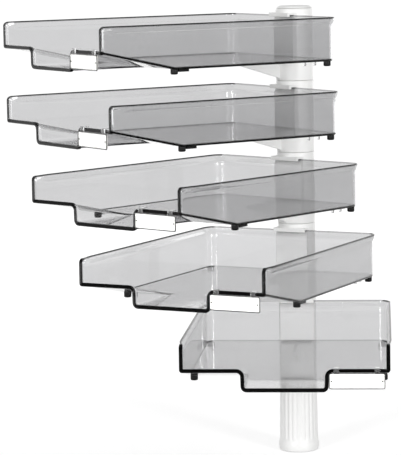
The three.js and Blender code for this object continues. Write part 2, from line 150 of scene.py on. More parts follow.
def colour_with_edge_shade(tree, marks, low, high, dark):
    """A colour between two by the flow marks, turned to a dark painted shade where the edge number is 1; and
    that number.
    """
    number = add(tree, "ShaderNodeAttribute", attribute_name=EDGE_NAME).outputs["Fac"]
    plain = add(tree, "ShaderNodeMix", {
        "Factor": marks.outputs["Fac"], MIX_A: linear(low), MIX_B: linear(high)}, data_type="RGBA")
    tint = add(tree, "ShaderNodeMix", {
        "Factor": number, MIX_A: plain.outputs[MIX_OUT], MIX_B: linear(dark)}, data_type="RGBA")
    return tint.outputs[MIX_OUT], number


smoke, tree, output, place = start_material("smoke_clear_polystyrene_moulded")
flow = add(tree, "ShaderNodeTexNoise", {"Vector": place, "Scale": per_mm(45), "Detail": 2.0, "Roughness": 0.4})
gloss = add(tree, "ShaderNodeMapRange", {"Value": flow.outputs["Fac"], "To Min": 0.02, "To Max": 0.06})
wave = add(tree, "ShaderNodeBump", {"Height": flow.outputs["Fac"], "Strength": 0.3, "Distance": 0.0002})
# The dark colour here is painted shade on the edges, and the grey mirror tint below dims their reflection
# there.
tint, edge_shade_number = colour_with_edge_shade(tree, flow, "#D8D8D9", "#DEDEDF", "#060606")
mirror = add(tree, "ShaderNodeMix", {
    "Factor": edge_shade_number, MIX_A: linear("#FFFFFF"), MIX_B: linear("#484848")}, data_type="RGBA")
shader = add(tree, "ShaderNodeBsdfPrincipled", {
    "Base Color": tint,
    "Roughness": gloss.outputs["Result"],
    "IOR": POLYSTYRENE_IOR,
    "Transmission Weight": 1.0,
    "Specular Tint": mirror.outputs[MIX_OUT],
    "Normal": wave.outputs["Normal"],
})
depth = add(tree, "ShaderNodeVolumeAbsorption", {"Color": linear("#000000"), "Density": SMOKE_DENSITY})
tree.links.new(let_lamps_by(tree, shader, "#FFFFFF"), output.inputs["Surface"])
tree.links.new(depth.outputs["Volume"], output.inputs["Volume"])
print("light left in the volume after a 2.2 mm wall:", round(math.exp(-SMOKE_DENSITY * 0.0022), 2))

# %% [markdown]
# Where the same plastic is a solid lump, as in the feet, no light comes through and it reads as a near-black
# with a weak gloss. That darkness is painted shade here: a dark opaque plastic with a weakened mirror gives
# that look without a long wait for light lost inside. Sink marks of a thick moulding, about 6 mm apart,
# ripple its reflections.

# %% Thick smoked polystyrene
thick, tree, output, place = start_material("thick_smoked_polystyrene_moulded")
sink = add(tree, "ShaderNodeTexNoise", {"Vector": place, "Scale": per_mm(6), "Detail": 3.0, "Roughness": 0.5})
gloss = add(tree, "ShaderNodeMapRange", {"Value": sink.outputs["Fac"], "To Min": 0.12, "To Max": 0.24})
ripple = add(tree, "ShaderNodeBump", {"Height": sink.outputs["Fac"], "Strength": 0.2, "Distance": 0.0002})
colour = add(tree, "ShaderNodeMix", {
    "Factor": sink.outputs["Fac"], MIX_A: linear("#050506"), MIX_B: linear("#0D0D0E")}, data_type="RGBA")
shader = add(tree, "ShaderNodeBsdfPrincipled", {
    "Base Color": colour.outputs[MIX_OUT],
    "Roughness": gloss.outputs["Result"],
    "IOR": POLYSTYRENE_IOR,
    "Specular IOR Level": 0.15,
    "Normal": ripple.outputs["Normal"],
})
tree.links.new(shader.outputs["BSDF"], output.inputs["Surface"])
print("made", thick.name)

# %% [markdown]
# Arms, sleeve and cap are white ABS, moulded against a lightly spark-eroded tool. That leaves a satin skin
# whose grain is about 0.3 mm, finer than a pixel here, so it is drawn at 1.2 mm to show at all. Large soft
# patches keep the white from being one flat value, as shrinkage does on a real moulding.

# %% Satin white ABS
white, tree, output, place = start_material("white_abs_spark_eroded")
patch = add(tree, "ShaderNodeTexNoise", {"Vector": place, "Scale": per_mm(60), "Detail": 2.0})
grain = add(tree, "ShaderNodeTexNoise", {"Vector": place, "Scale": per_mm(1.2), "Detail": 2.0})
gloss = add(tree, "ShaderNodeMapRange", {"Value": grain.outputs["Fac"], "To Min": 0.32, "To Max": 0.46})
skin = add(tree, "ShaderNodeBump", {"Height": grain.outputs["Fac"], "Strength": 0.12, "Distance": 0.0002})
colour = add(tree, "ShaderNodeMix", {
    "Factor": patch.outputs["Fac"], MIX_A: linear("#F0F0EF"), MIX_B: linear("#F8F8F7")}, data_type="RGBA")
shader = add(tree, "ShaderNodeBsdfPrincipled", {
    "Base Color": colour.outputs[MIX_OUT],
    "Roughness": gloss.outputs["Result"],
    "IOR": 1.53,
    "Normal": skin.outputs["Normal"],
})
tree.links.new(shader.outputs["BSDF"], output.inputs["Surface"])
print("made", white.name)

# %% [markdown]
# The label clip is the same polystyrene without the tint, thin enough to look colourless. Its grey rim is
# painted shade, which the edge number gives here too. The card behind it is plain white stock: matt, with
# fibres a couple of millimetres long that lie along the sheet.

# %% Clear polystyrene and white card
clear, tree, output, place = start_material("clear_polystyrene_moulded")
flow = add(tree, "ShaderNodeTexNoise", {"Vector": place, "Scale": per_mm(20), "Detail": 2.0})
gloss = add(tree, "ShaderNodeMapRange", {"Value": flow.outputs["Fac"], "To Min": 0.02, "To Max": 0.08})
# The dark colour here is the painted shade of the window's grey rim.
tint, _ = colour_with_edge_shade(tree, flow, "#F2F3F4", "#FCFCFC", "#2A2A2C")
shader = add(tree, "ShaderNodeBsdfPrincipled", {
    "Base Color": tint,
    "Roughness": gloss.outputs["Result"],
    "IOR": POLYSTYRENE_IOR,
    "Transmission Weight": 1.0,
})
tree.links.new(let_lamps_by(tree, shader, "#F7F7F7"), output.inputs["Surface"])

card, tree, output, place = start_material("white_card_stock")
along = add(tree, "ShaderNodeMapping", {"Vector": place, "Scale": (1.0, 1.0, 6.0)})
fibre = add(tree, "ShaderNodeTexNoise", {"Vector": along.outputs["Vector"], "Scale": per_mm(2), "Detail": 4.0})
felt = add(tree, "ShaderNodeBump", {"Height": fibre.outputs["Fac"], "Strength": 0.2, "Distance": 0.0001})
colour = add(tree, "ShaderNodeMix", {
    "Factor": fibre.outputs["Fac"], MIX_A: linear("#F4F3EF"), MIX_B: linear("#FCFBF8")}, data_type="RGBA")
shader = add(tree, "ShaderNodeBsdfPrincipled", {
    "Base Color": colour.outputs[MIX_OUT],
    "Roughness": 0.9,
    "IOR": 1.5,
    "Normal": felt.outputs["Normal"],
})
tree.links.new(shader.outputs["BSDF"], output.inputs["Surface"])
print("made", clear.name, "and", card.name)

# %% [markdown]
# Inside the column a drawn steel tube carries everything, and acetal washers let the collars turn. Drawing
# leaves long scratches down the tube, so its noise is stretched along Z. Acetal is a waxy off-white, and its
# turned faces show rings, drawn here as waves 1.5 mm apart. A wave texture of scale 1 repeats every 2 pi / 20.

# %% Drawn steel and acetal
WAVE_PERIOD = 2 * math.pi / 20

steel, tree, output, place = start_material("bright_drawn_steel")
drawn = add(tree, "ShaderNodeMapping", {"Vector": place, "Scale": (1.0, 1.0, 0.02)})
scratch = add(tree, "ShaderNodeTexNoise", {
    "Vector": drawn.outputs["Vector"], "Scale": per_mm(0.8), "Detail": 3.0})
gloss = add(tree, "ShaderNodeMapRange", {"Value": scratch.outputs["Fac"], "To Min": 0.22, "To Max": 0.42})
colour = add(tree, "ShaderNodeMix", {
    "Factor": scratch.outputs["Fac"], MIX_A: linear("#A9ABAD"), MIX_B: linear("#C6C8CA")}, data_type="RGBA")
shader = add(tree, "ShaderNodeBsdfPrincipled", {
    "Base Color": colour.outputs[MIX_OUT],
    "Metallic": 1.0,
    "Roughness": gloss.outputs["Result"],
})
tree.links.new(shader.outputs["BSDF"], output.inputs["Surface"])

acetal, tree, output, place = start_material("natural_acetal_turned")
rings = add(tree, "ShaderNodeTexWave", {
    "Vector": place, "Scale": per_mm(1.5) * WAVE_PERIOD, "Distortion": 0.4,
}, wave_type="RINGS", rings_direction="Z")
turned_face = add(tree, "ShaderNodeBump", {"Height": rings.outputs["Fac"], "Strength": 0.1, "Distance": 0.0001})
colour = add(tree, "ShaderNodeMix", {
    "Factor": rings.outputs["Fac"], MIX_A: linear("#E6E2D6"), MIX_B: linear("#EFECE2")}, data_type="RGBA")
shader = add(tree, "ShaderNodeBsdfPrincipled", {
    "Base Color": colour.outputs[MIX_OUT],
    "Roughness": 0.5,
    "IOR": 1.48,
    "Normal": turned_face.outputs["Normal"],
})
tree.links.new(shader.outputs["BSDF"], output.inputs["Surface"])
print("made", steel.name, "and", acetal.name)

# %% [markdown]
# A surface here is always a grid of points: rows along one parameter, columns along the other. The faces of a
# grid are the same little sum for every shape, so they are worked out once for whole arrays. A strip that is
# closed round its columns and shut at both ends with a flat face is what a profile carried along a path gives.

# %% Grids to meshes
MM = 0.001
MERGE_M = 1e-6
SHARE_NAME = "share"
CREASE_DEG = 40.0
BEVEL_STEPS = 2


def grid_faces(rows, columns, wrap_rows=False, wrap_columns=False):
    """Corner numbers of every quad between point (i, j) and its neighbours in the next row and column."""
    i, j = np.meshgrid(
        np.arange(rows - (not wrap_rows)), np.arange(columns - (not wrap_columns)), indexing="ij")
    down, right = (i + 1) % rows, (j + 1) % columns
    corners = [i * columns + j, down * columns + j, down * columns + right, i * columns + right]
    return np.stack(corners, axis=-1).reshape(-1, 4)


def shut(points):
    """A grid closed round its columns, with a flat face over its first and its last row."""
    rows, columns = points.shape[:2]
    faces = grid_faces(rows, columns, wrap_columns=True).tolist()
    faces.append(list(range(columns)))
    faces.append(list(range(rows * columns - 1, (rows - 1) * columns - 1, -1)))
    return points.reshape(-1, 3), faces


def looped(points):
    """A grid closed both ways, such as a closed profile turned round an axis."""
    rows, columns = points.shape[:2]
    faces = grid_faces(rows, columns, wrap_rows=True, wrap_columns=True).tolist()
    return points.reshape(-1, 3), faces


def weld(points, faces):
    """Points that fall together become one: equal rounded coordinates share a number for the faces."""
    rounded = np.round(points / MERGE_M) + 0.0
    _, first, number = np.unique(rounded, axis=0, return_index=True, return_inverse=True)
    number = number.reshape(-1).tolist()
    faces = [list(dict.fromkeys(number[corner] for corner in face)) for face in faces]
    return first, [face for face in faces if len(face) > 2]


def make_piece(name, shapes, material, body, slot, node=None, closed=True, share=None, edge=None):
    """One object from several (points in metres, faces), welded, smooth up to a crease, riding on a body.
    share and edge, where given, are a number for each point: a vertex group and a material's attribute."""
    starts = np.cumsum([0] + [len(points) for points, _ in shapes])
    points = np.concatenate([points for points, _ in shapes])
    faces = [
        [start + corner for corner in face] for start, (_, part) in zip(starts, shapes) for face in part]
    kept, faces = weld(points, faces)
    mesh = bpy.data.meshes.new(name)
    mesh.from_pydata(points[kept], [], faces)
    if closed:
        work = bmesh.new()
        work.from_mesh(mesh)
        bmesh.ops.recalc_face_normals(work, faces=work.faces)
        work.to_mesh(mesh)
        work.free()
    mesh.shade_smooth()
    mesh.set_sharp_from_angle(angle=math.radians(CREASE_DEG))
    mesh.materials.append(material)
    piece = bpy.data.objects.new(name, mesh)
    bpy.context.scene.collection.objects.link(piece)
    if share is not None:
        group = piece.vertex_groups.new(name=SHARE_NAME)
        for value in np.unique(share[kept]):
            group.add(np.flatnonzero(share[kept] == value).tolist(), float(value), "REPLACE")
    if edge is not None:
        numbers = mesh.attributes.new(EDGE_NAME, "FLOAT", "POINT")
        numbers.data.foreach_set("value", edge[kept].astype(np.float32))
    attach(piece, body)
    if node:
        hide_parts(node)
    return piece


def soften(piece, width_mm):
    """A bevel on every edge sharper than the crease angle, as no moulded edge is truly sharp."""
    bevel = piece.modifiers.new("moulded_edge", "BEVEL")
    bevel.width = width_mm * MM
    bevel.segments = BEVEL_STEPS
    bevel.limit_method = "ANGLE"
    bevel.angle_limit = math.radians(CREASE_DEG)


print("a 3 by 4 grid has", len(grid_faces(3, 4)), "faces")

# %% [markdown]
# Most of the column is turned: a closed profile of radius and height goes round the Z axis. A lathe with a
# Screw modifier would do it too, but a formula also lets the radius change with the angle, which the flutes of
# the sleeve and the flat on each collar need. The profile's corners are rounded as arcs of a few points.

# %% Turned surfaces
TURN_STEPS, ROUND_STEPS = 96, 5
SIZES = {"column_r": 25.5, "bore_r": 12.3, "hub_r": 14.5, "socket_r": 10.5, "seam_round": 0.8}


def arc(centre, radius, start_deg, end_deg, steps):
    """Points on a circle: centre plus radius times cosine and sine of the angle."""
    angle = np.radians(np.linspace(start_deg, end_deg, steps))
    return np.stack([centre[0] + radius * np.cos(angle), centre[1] + radius * np.sin(angle)], axis=-1)


def round_axis(radius, angle, height):
    """Points (r cos a, r sin a, z), with the heights down the rows and the angles along the columns."""
    return np.stack([radius * np.cos(angle), radius * np.sin(angle), height + 0 * angle], axis=-1)


def turn_profile(profile, steps=TURN_STEPS):
    """Each (r, z) of the profile goes round the axis to every angle; millimetres to metres."""
    profile = np.asarray(profile, float)
    angle = np.linspace(0, 2 * np.pi, steps, endpoint=False)
    return round_axis(profile[:, :1], angle, profile[:, 1:]) * MM


def ring_profile(z0, z1):
    """A plain length of column from z0 to z1, its outer edges rounded and its bore round the mast."""
    outer, small = SIZES["column_r"], SIZES["seam_round"]
    low = arc((outer - small, z0 + small), small, -90, 0, ROUND_STEPS)
    high = arc((outer - small, z1 - small), small, 0, 90, ROUND_STEPS)
    bore = [[SIZES["bore_r"], z1], [SIZES["bore_r"], z0]]
    return np.concatenate([low, high, bore])


SLEEVE_H = 97.0
SEAM = 0.4
RING_H = 24.2
COLLAR_Z = SLEEVE_H + SEAM + RING_H + SEAM
base_ring = make_piece(
    "base_ring_turned", [looped(turn_profile(ring_profile(SLEEVE_H + SEAM, COLLAR_Z - SEAM)))],
    white, "column", "white_plastic", "base_ring")
print("ring:", len(base_ring.data.polygons), "faces")

# %% [markdown]
# The sleeve at the foot is ribbed for grip. Round it run two dozen shallow flutes that fade out into a plain,
# slightly swollen band above the rounded lower edge. The flute is a raised cosine of the angle, and a smooth
# step of the height fades it, so the whole outside is one formula for the radius.

# %% Fluted sleeve
FLUTE_COUNT, FLUTE_STEPS = 24, 12
FLUTE_DEPTH, FLUTE_POWER = 0.9, 1.5
FLUTE_START, FLUTE_FULL = 14.0, 21.0
SLEEVE_SPREAD = 1.1
BULGE, BULGE_H = 1.5, 15.0
FOOT_ROUND = 1.8
SLEEVE_SHELL_R = 21.7
SOCKET_STOP_Z, SOCKET_STOP_T = 8.0, 2.0
SLEEVE_WEB, TOP_CHAMFER = 3.0, 0.6
FOOT_STEPS, PLAIN_STEPS, FADE_STEPS, RIBBED_STEPS = 6, 10, 9, 12


def smooth_step(value, low, high):
    """0 below low, 1 above high, and 3t^2 - 2t^3 between."""
    t = np.clip((value - low) / (high - low), 0, 1)
    return t * t * (3 - 2 * t)


def sleeve_points():
    """Outside radius = column + taper + swelling - flute(angle) * fade(height); then the inside, plain."""
    angle = np.linspace(0, 2 * np.pi, FLUTE_COUNT * FLUTE_STEPS, endpoint=False)
    z = np.concatenate([
        FOOT_ROUND * (1 - np.cos(np.radians(np.linspace(0, 90, FOOT_STEPS)))),
        np.linspace(FOOT_ROUND, FLUTE_START, PLAIN_STEPS)[1:],
        np.linspace(FLUTE_START, FLUTE_FULL, FADE_STEPS)[1:],
        np.linspace(FLUTE_FULL, SLEEVE_H - TOP_CHAMFER, RIBBED_STEPS)[1:],
    ])
    arch = np.sqrt(np.clip(FOOT_ROUND**2 - (FOOT_ROUND - z)**2, 0, None))
    inset = np.where(z < FOOT_ROUND, FOOT_ROUND - arch, 0)
    swell = BULGE * np.sin(np.pi * np.clip(z / BULGE_H, 0, 1))
    plain = SIZES["column_r"] + SLEEVE_SPREAD * (1 - z / SLEEVE_H) + swell - inset
    fade = smooth_step(z, FLUTE_START, FLUTE_FULL)[:, None]
    groove = (0.5 - 0.5 * np.cos(FLUTE_COUNT * angle)) ** FLUTE_POWER
    radius = plain[:, None] - FLUTE_DEPTH * fade * groove
    inner = np.array([
        [radius[-1].min() - TOP_CHAMFER, SLEEVE_H], [SIZES["bore_r"], SLEEVE_H],
        [SIZES["bore_r"], SOCKET_STOP_Z + SOCKET_STOP_T], [SIZES["socket_r"], SOCKET_STOP_Z + SOCKET_STOP_T],
        [SIZES["socket_r"], SOCKET_STOP_Z], [SIZES["hub_r"], SOCKET_STOP_Z],
        [SIZES["hub_r"], SLEEVE_H - SLEEVE_WEB], [SLEEVE_SHELL_R, SLEEVE_H - SLEEVE_WEB], [SLEEVE_SHELL_R, 0],
    ])
    radius = np.concatenate([radius, inner[:, :1] + 0 * angle])
    return round_axis(radius, angle, np.concatenate([z, inner[:, 1]])[:, None]) * MM


sleeve = make_piece(
    "sleeve_fluted", [looped(sleeve_points())], white, "column", "white_plastic", "fluted_sleeve")
print("sleeve:", len(sleeve.data.polygons), "faces")

# %% [markdown]
# The cap closes the column with a low dome and a rounded edge, and its plug stands in the mast. Its profile
# starts and ends on the axis, where all points of a row fall together and are merged to one.

# %% Column cap
TIER_PITCH = 97.4
TIER_COUNT = 5
CAP_Z = COLLAR_Z + TIER_COUNT * TIER_PITCH
CAP_H, CAP_ROUND, CAP_DOME = 3.2, 7.5, 0.4
CAP_PLUG_R, CAP_PLUG_H = 10.2, 18.0
SEAT_H, SEAT_INSET = 0.3, 0.5
BROW_END_DEG, BROW_STEPS, CROWN_STEPS = 84, 9, 9


def crown_arc(from_z, to_deg, steps):
    """The round of the column's upper end, from a height over the cap's seat to an angle of its circle."""
    from_deg = math.degrees(math.asin((from_z - CAP_H + CAP_ROUND) / CAP_ROUND))
    return arc((SIZES["column_r"] - CAP_ROUND, CAP_H - CAP_ROUND), CAP_ROUND, from_deg, to_deg, steps)


brow = crown_arc(SEAT_H, BROW_END_DEG, BROW_STEPS)
crown_r = np.linspace(brow[-1, 0], 0, CROWN_STEPS)[1:]
crown_z = brow[-1, 1] + (CAP_H + CAP_DOME - brow[-1, 1]) * (1 - (crown_r / brow[-1, 0]) ** 2)
cap_profile = np.concatenate([
    [[0, -CAP_PLUG_H], [CAP_PLUG_R, -CAP_PLUG_H], [CAP_PLUG_R, 0], [brow[0, 0] - SEAT_INSET, 0]],
    brow, np.stack([crown_r, crown_z], axis=-1),
]) + [0, CAP_Z]
cap_points = turn_profile(cap_profile)
cap_shape = (cap_points.reshape(-1, 3), grid_faces(*cap_points.shape[:2], wrap_columns=True).tolist())
make_piece("cap_domed", [cap_shape], white, "column", "white_plastic", "column_cap")
print("cap top in mm:", round(cap_points[..., 2].max() / MM, 1))

# %% [markdown]
# Each tier has its own simple frame: x to the tray's right, reach in front of the column's axis, and height
# above the tray's floor. One function turns such points by the tier's rest angle and lifts them into the row
# frame, so every piece of a tier is drawn once and placed five times with its place in its mesh.

# %% Tier frame
FAN_DEG = (55.8, 53.9, 39.8, 24.6, 2.6)
TRAY_LIFT = 30.4


def in_tier(k, points):
    """(x, reach, height) of tier k to metres: y is minus reach, turned by minus the fan angle, and lifted."""
    angle = math.radians(-FAN_DEG[k])
    x, y = points[..., 0], -points[..., 1]
    lift = COLLAR_Z + (TIER_COUNT - 1 - k) * TIER_PITCH + TRAY_LIFT
    flat = [x * math.cos(angle) - y * math.sin(angle), x * math.sin(angle) + y * math.cos(angle)]
    return np.stack([*flat, points[..., 2] + lift], axis=-1) * MM


def per_tier(name, shapes, material, slot, node=None, tiers=range(TIER_COUNT), **more):
    """The same shapes, given in tier millimetres, as one piece in each tier, counted from the top."""
    made = []
    for k in tiers:
        placed = [(in_tier(k, points), faces) for points, faces in shapes]
        cad_node = f"{node}_{k + 1}" if node else None
        made.append(make_piece(f"{name}_{k + 1}", placed, material, f"tier_{k + 1}", slot, cad_node, **more))
    return made


print("tray floors in mm:", [round(in_tier(k, np.zeros(3))[2] / MM, 1) for k in range(TIER_COUNT)])

# %% [markdown]
# The tray is the main piece: a shell 2.2 mm thick with round rear corners, walls that flare at the rim, an open
# front, and a floor that rises in a ramp on each side of a scoop. Extruding boxes would leave hard corners, so
# the outer skin is one grid. Rows follow the wall from the right front round the rear to the left front.
# Columns run from the rim down the wall, round its foot and across the floor to the middle line.

# %% Tray measures
TRAY_BACK, TRAY_LENGTH = 17.8, 359.0
TRAY_FRONT = TRAY_BACK + TRAY_LENGTH
TRAY_FRONT_W, TRAY_REAR_W = 257.0, 249.0
TRAY_H, TRAY_WALL = 58.0, 2.2
HALF_WALL = TRAY_WALL / 2
CORNER_R, EDGE_ROUND = 14.0, 2.5
RIM_H, RIM_FLARE = 9.0, 3.0
LIP_H, RAMP_LENGTH = 24.5, 109.0
SCOOP_HALF, SCOOP_R, SCOOP_DRAFT = 53.0, 6.0, 0.6
NOSE_R = 6.0
FLARE_FADE = (3.0, 32.0)
RIM_COLUMNS, WALL_COLUMNS, FOOT_COLUMNS = 14, 7, 6
NOSE_STEPS, RAMP_STEPS, SIDE_STEPS, CORNER_STEPS, REAR_STEPS = 11, 15, 17, 13, 9
LAST_DOWN = 0.97
SPINE_START = TRAY_BACK + 60.0


def half_width(reach):
    """Half the tray's width, growing in a straight line from the rear to the front."""
    return (TRAY_REAR_W + (TRAY_FRONT_W - TRAY_REAR_W) * (reach - TRAY_BACK) / TRAY_LENGTH) / 2


def ramp_share(reach):
    """How far up the ramp a point lies: 0 on the flat floor, 1 at the front edge."""
    return np.clip((reach - TRAY_FRONT + RAMP_LENGTH) / RAMP_LENGTH, 0, 1)


def wall_path():
    """Right half of the wall's plan, front to rear middle: foot points, outward normals and rim heights."""
    nose = np.radians(np.linspace(0, 90, NOSE_STEPS))
    corner_reach = TRAY_BACK + CORNER_R
    reach = np.concatenate([
        TRAY_FRONT - NOSE_R + NOSE_R * np.cos(nose),
        np.linspace(TRAY_FRONT - NOSE_R, TRAY_FRONT - RAMP_LENGTH, RAMP_STEPS)[1:],
        np.linspace(TRAY_FRONT - RAMP_LENGTH, corner_reach, SIDE_STEPS)[1:],
    ])
    rim = np.full(reach.size, TRAY_H)
    rim[:nose.size] = TRAY_H - NOSE_R + NOSE_R * np.sin(nose)
    side = np.stack([half_width(reach), reach], axis=-1)
    angle = np.radians(np.linspace(0, 90, CORNER_STEPS))[1:]
    corner_normal = np.stack([np.cos(angle), -np.sin(angle)], axis=-1)
    corner_x = half_width(corner_reach) - CORNER_R
    corner = [corner_x, corner_reach] + CORNER_R * corner_normal
    rear_x = np.linspace(corner_x, 0, REAR_STEPS)[1:]
    rear = np.stack([rear_x, np.full(rear_x.size, TRAY_BACK)], axis=-1)
    foot = np.concatenate([side, corner, rear])
    normal = np.concatenate([
        np.tile([1.0, 0.0], (len(side), 1)), corner_normal, np.tile([0.0, -1.0], (len(rear), 1))])
    rim = np.concatenate([rim, np.full(foot.shape[0] - rim.size, TRAY_H)])
    return foot, normal, rim


print("tray, rear to front edge in mm:", TRAY_FRONT - TRAY_BACK)

# %% [markdown]
# Across the ramp the floor's section is an S: a quarter circle up from the scoop, a steep side and a quarter
# circle over into the lip. Multiplying its height by the share of the ramp flattens it towards the rear, which
# gives the two triangular cheeks of the scoop with no cut at all. The grid is the middle of the shell's wall.

# %% Tray sheet
CREST_STEPS, CHEEK_STEPS, SCOOP_STEPS = 10, 6, 8
LIP_STEPS, MIDDLE_STEPS = 7, 7


def scoop_section():
    """From the lip inwards: (x, height at the front edge) down the S to the scoop's floor, in mid-wall."""
    crest = arc((SCOOP_HALF + SCOOP_R, LIP_H - SCOOP_R), SCOOP_R + HALF_WALL, 90, 180, CREST_STEPS)
    foot = arc((SCOOP_HALF - SCOOP_R, SCOOP_R), SCOOP_R - HALF_WALL, 0, -90, SCOOP_STEPS)
    side = np.concatenate([crest, np.linspace(crest[-1], foot[0], CHEEK_STEPS)[1:-1], foot])
    side[:, 0] += SCOOP_DRAFT * (side[:, 1] / LIP_H - 0.5)
    return side


def tray_wall(foot, normal, rim, base):
    """Columns of the wall: rim flare 1-(1-t)^2, straight wall, quarter-round foot, each moved out along the
    normal. The flare dies away towards the front edge."""
    t = np.linspace(1, 0, RIM_COLUMNS)
    rim_start = TRAY_H - RIM_H
    down = np.append(np.linspace(0, 1, WALL_COLUMNS + 1)[1:-1], LAST_DOWN)
    bend = np.radians(np.linspace(0, 90, FOOT_COLUMNS))
    round_r = EDGE_ROUND - HALF_WALL
    flare = RIM_FLARE * smooth_step(TRAY_FRONT - foot[:, 1:], *FLARE_FADE)
    offset = np.concatenate([
        flare * (1 - (1 - t) ** 2),
        0 * flare * down,
        0 * flare - round_r * (1 - np.cos(bend)),
    ], axis=1) - HALF_WALL
    low = base[:, None] + HALF_WALL
    height = np.concatenate([
        rim_start + t * (rim[:, None] - rim_start),
        rim_start + down * (low + round_r - rim_start),
        low + round_r * (1 - np.sin(bend)),
    ], axis=1)
    plan = foot[:, None] + offset[..., None] * normal[:, None]
    return np.concatenate([plan, height[..., None]], axis=-1)


def tray_floor(foot, normal, climb):
    """Columns of the floor, from the wall's foot to the middle line; height = share of the ramp * section."""
    section = scoop_section()
    start = foot - EDGE_ROUND * normal
    rear_half = half_width(TRAY_BACK + CORNER_R) - EDGE_ROUND
    reference = np.where(normal[:, 0] == 1.0, start[:, 0], rear_half)[:, None]
    lip_x = reference + np.linspace(0, 1, LIP_STEPS)[1:-1] * (section[0, 0] - reference)
    inner_x = np.linspace(section[-1, 0], 0, MIDDLE_STEPS)[1:]
    inner_lines = np.tile(np.concatenate([section[:, 0], inner_x]), (len(foot), 1))
    line_x = np.concatenate([lip_x, inner_lines], axis=1)
    front_z = np.concatenate([
        np.full(lip_x.shape[1], section[0, 1]), section[:, 1], np.full(inner_x.size, HALF_WALL)])
    spine = np.stack([np.zeros(len(foot)), np.maximum(start[:, 1], SPINE_START)], axis=-1)
    plan = start[:, None] + (1 - line_x / reference)[..., None] * (spine - start)[:, None]
    height = HALF_WALL + climb[:, None] * (front_z - HALF_WALL)
    return np.concatenate([plan, height[..., None]], axis=-1)


foot, normal, rim = wall_path()
climb = np.where(normal[:, 0] == 1.0, ramp_share(foot[:, 1]), 0)
right_half = np.concatenate([
    tray_wall(foot, normal, rim, climb * LIP_H), tray_floor(foot, normal, climb)], axis=1)
sheet = np.concatenate([right_half, right_half[-2::-1] * [-1.0, 1.0, 1.0]])
print("tray sheet, rows and columns:", sheet.shape[:2])

# %% [markdown]
# The tray's whole front edge is thickened into a bead 5 mm across, a little thinner at its very end: up the
# walls, along the lips and through the scoop. A separate rod would leave a hidden face inside the plastic, so
# the bead is part of the same wall: a number at each point scales Solidify's thickness, full in the bead and a
# little under half elsewhere. A second number is the edge, which paints shade on the bead, the rim and the
# wall's foot.

# %% Tray shells with a front bead
BEAD = 5.0
BEAD_FADE, TIP_FADE = (4.0, 5.2), (0.6, 1.8)
THIN_FADE, EDGE_THIN = (-0.1, 0.9), 0.7
# Shares of painted shade at the front bead, the wall's foot, the rear and down the rim's columns.
FRONT_SHADE, FOOT_SHADE, REAR_SHADE = 0.99, 0.98, 0.4
RIM_SHADE = (1.0, 1.0, 0.85, 0.4, 0.0)
PLAIN_SHARE = TRAY_WALL / BEAD
TRAY_BEVEL, LEVEL = 0.45, 0.9


def from_front(points):
    """Distance from the front edge, which bends back over the nose as a quarter circle."""
    reach, height = points[..., 1], points[..., 2]
    back, low = TRAY_FRONT - NOSE_R, TRAY_H - NOSE_R
    from_nose = NOSE_R - np.hypot(reach - back, height - low)
    return np.where((reach >= back) & (height > low), from_nose, TRAY_FRONT - reach)


def bead_share(distance):
    """Thickness as a share of the bead's: full near the front edge, thinned at its end, plain elsewhere."""
    thick_share = PLAIN_SHARE + (1 - PLAIN_SHARE) * (1 - smooth_step(distance, *BEAD_FADE))
    return thick_share * (EDGE_THIN + (1 - EDGE_THIN) * smooth_step(distance, *THIN_FADE))


def front_edge_shade(distance):
    """Painted shade over the whole bead where it runs level, but only at its tip where it stands upright."""
    heading = np.gradient(sheet[0], axis=0)
    upright = np.abs(heading[:, 2]) / np.hypot(heading[:, 0], heading[:, 2])
    bead, tip = (1 - smooth_step(distance, *fade) for fade in (BEAD_FADE, TIP_FADE))
    return FRONT_SHADE * (bead + (tip - bead) * upright)


def rim_and_foot_shade():
    """Painted shade along the rim and round the wall's foot, and less of it along the rear."""
    column = np.arange(sheet.shape[1])
    foot_column = column - RIM_COLUMNS - WALL_COLUMNS
    rim_shade = np.interp(column, np.arange(len(RIM_SHADE)), RIM_SHADE)
    foot_shade = FOOT_SHADE * ((foot_column >= 0) & (foot_column < FOOT_COLUMNS - 1))
    at_rear = np.abs(sheet[:, 0, 0]) < half_width(TRAY_BACK) - CORNER_R / 2
    return np.maximum(rim_shade, foot_shade) * np.where(at_rear, REAR_SHADE, 1.0)[:, None]


behind_front = from_front(sheet)
tray_share = np.round(bead_share(behind_front), 3)
tray_edge_shade = np.maximum(front_edge_shade(behind_front), rim_and_foot_shade())
tray_shape = (sheet.reshape(-1, 3), grid_faces(*sheet.shape[:2])[:, ::-1].tolist())
trays = per_tier(
    "tray_shell", [tray_shape], smoke, "smoke_clear", "letter_tray",
    closed=False, share=tray_share.reshape(-1), edge=tray_edge_shade.reshape(-1))
for tray in trays:
    wall = tray.modifiers.new("wall_thickness", "SOLIDIFY")
    wall.thickness = BEAD * MM
    wall.offset = 0.0
    wall.use_even_offset = True
    wall.vertex_group = SHARE_NAME
    soften(tray, TRAY_BEVEL)
floor_faces = [face for face in trays[0].data.polygons if abs(face.normal.z) > LEVEL]
print("underside faces down:", all(face.normal.z < 0 for face in floor_faces))

# %% [markdown]
# Under the floor are four round feet, a short runner behind each front foot, and two little pins in front of
# each rear foot. Feet and pins are turned pegs with a rounded end. All of a kind share one profile, and a peg's
# place is added to its whole array of points at once, without a loop over points.

# %% Feet, runners and pins
FOOT_R, FOOT_H, FOOT_INSET = 4.9, 6.3, 6.5
PIN_R, PIN_H, PIN_INSET, PIN_STEP = 2.0, 5.0, 12.0, 16.0
BEHIND_RAMP, FROM_REAR = 2.0, 11.0
FRONT_FOOT = TRAY_FRONT - RAMP_LENGTH - BEHIND_RAMP
REAR_FOOT = TRAY_BACK + FROM_REAR
RUNNER_LENGTH, RUNNER_T, RUNNER_H = 20.0, 3.6, 3.2
RUNNER_ROUND, RUNNER_GAP = 0.7, 0.1
PEG_ROUND, FOOT_TURN, PIN_TURN = 0.35, 24, 16
UNDER = 0.02


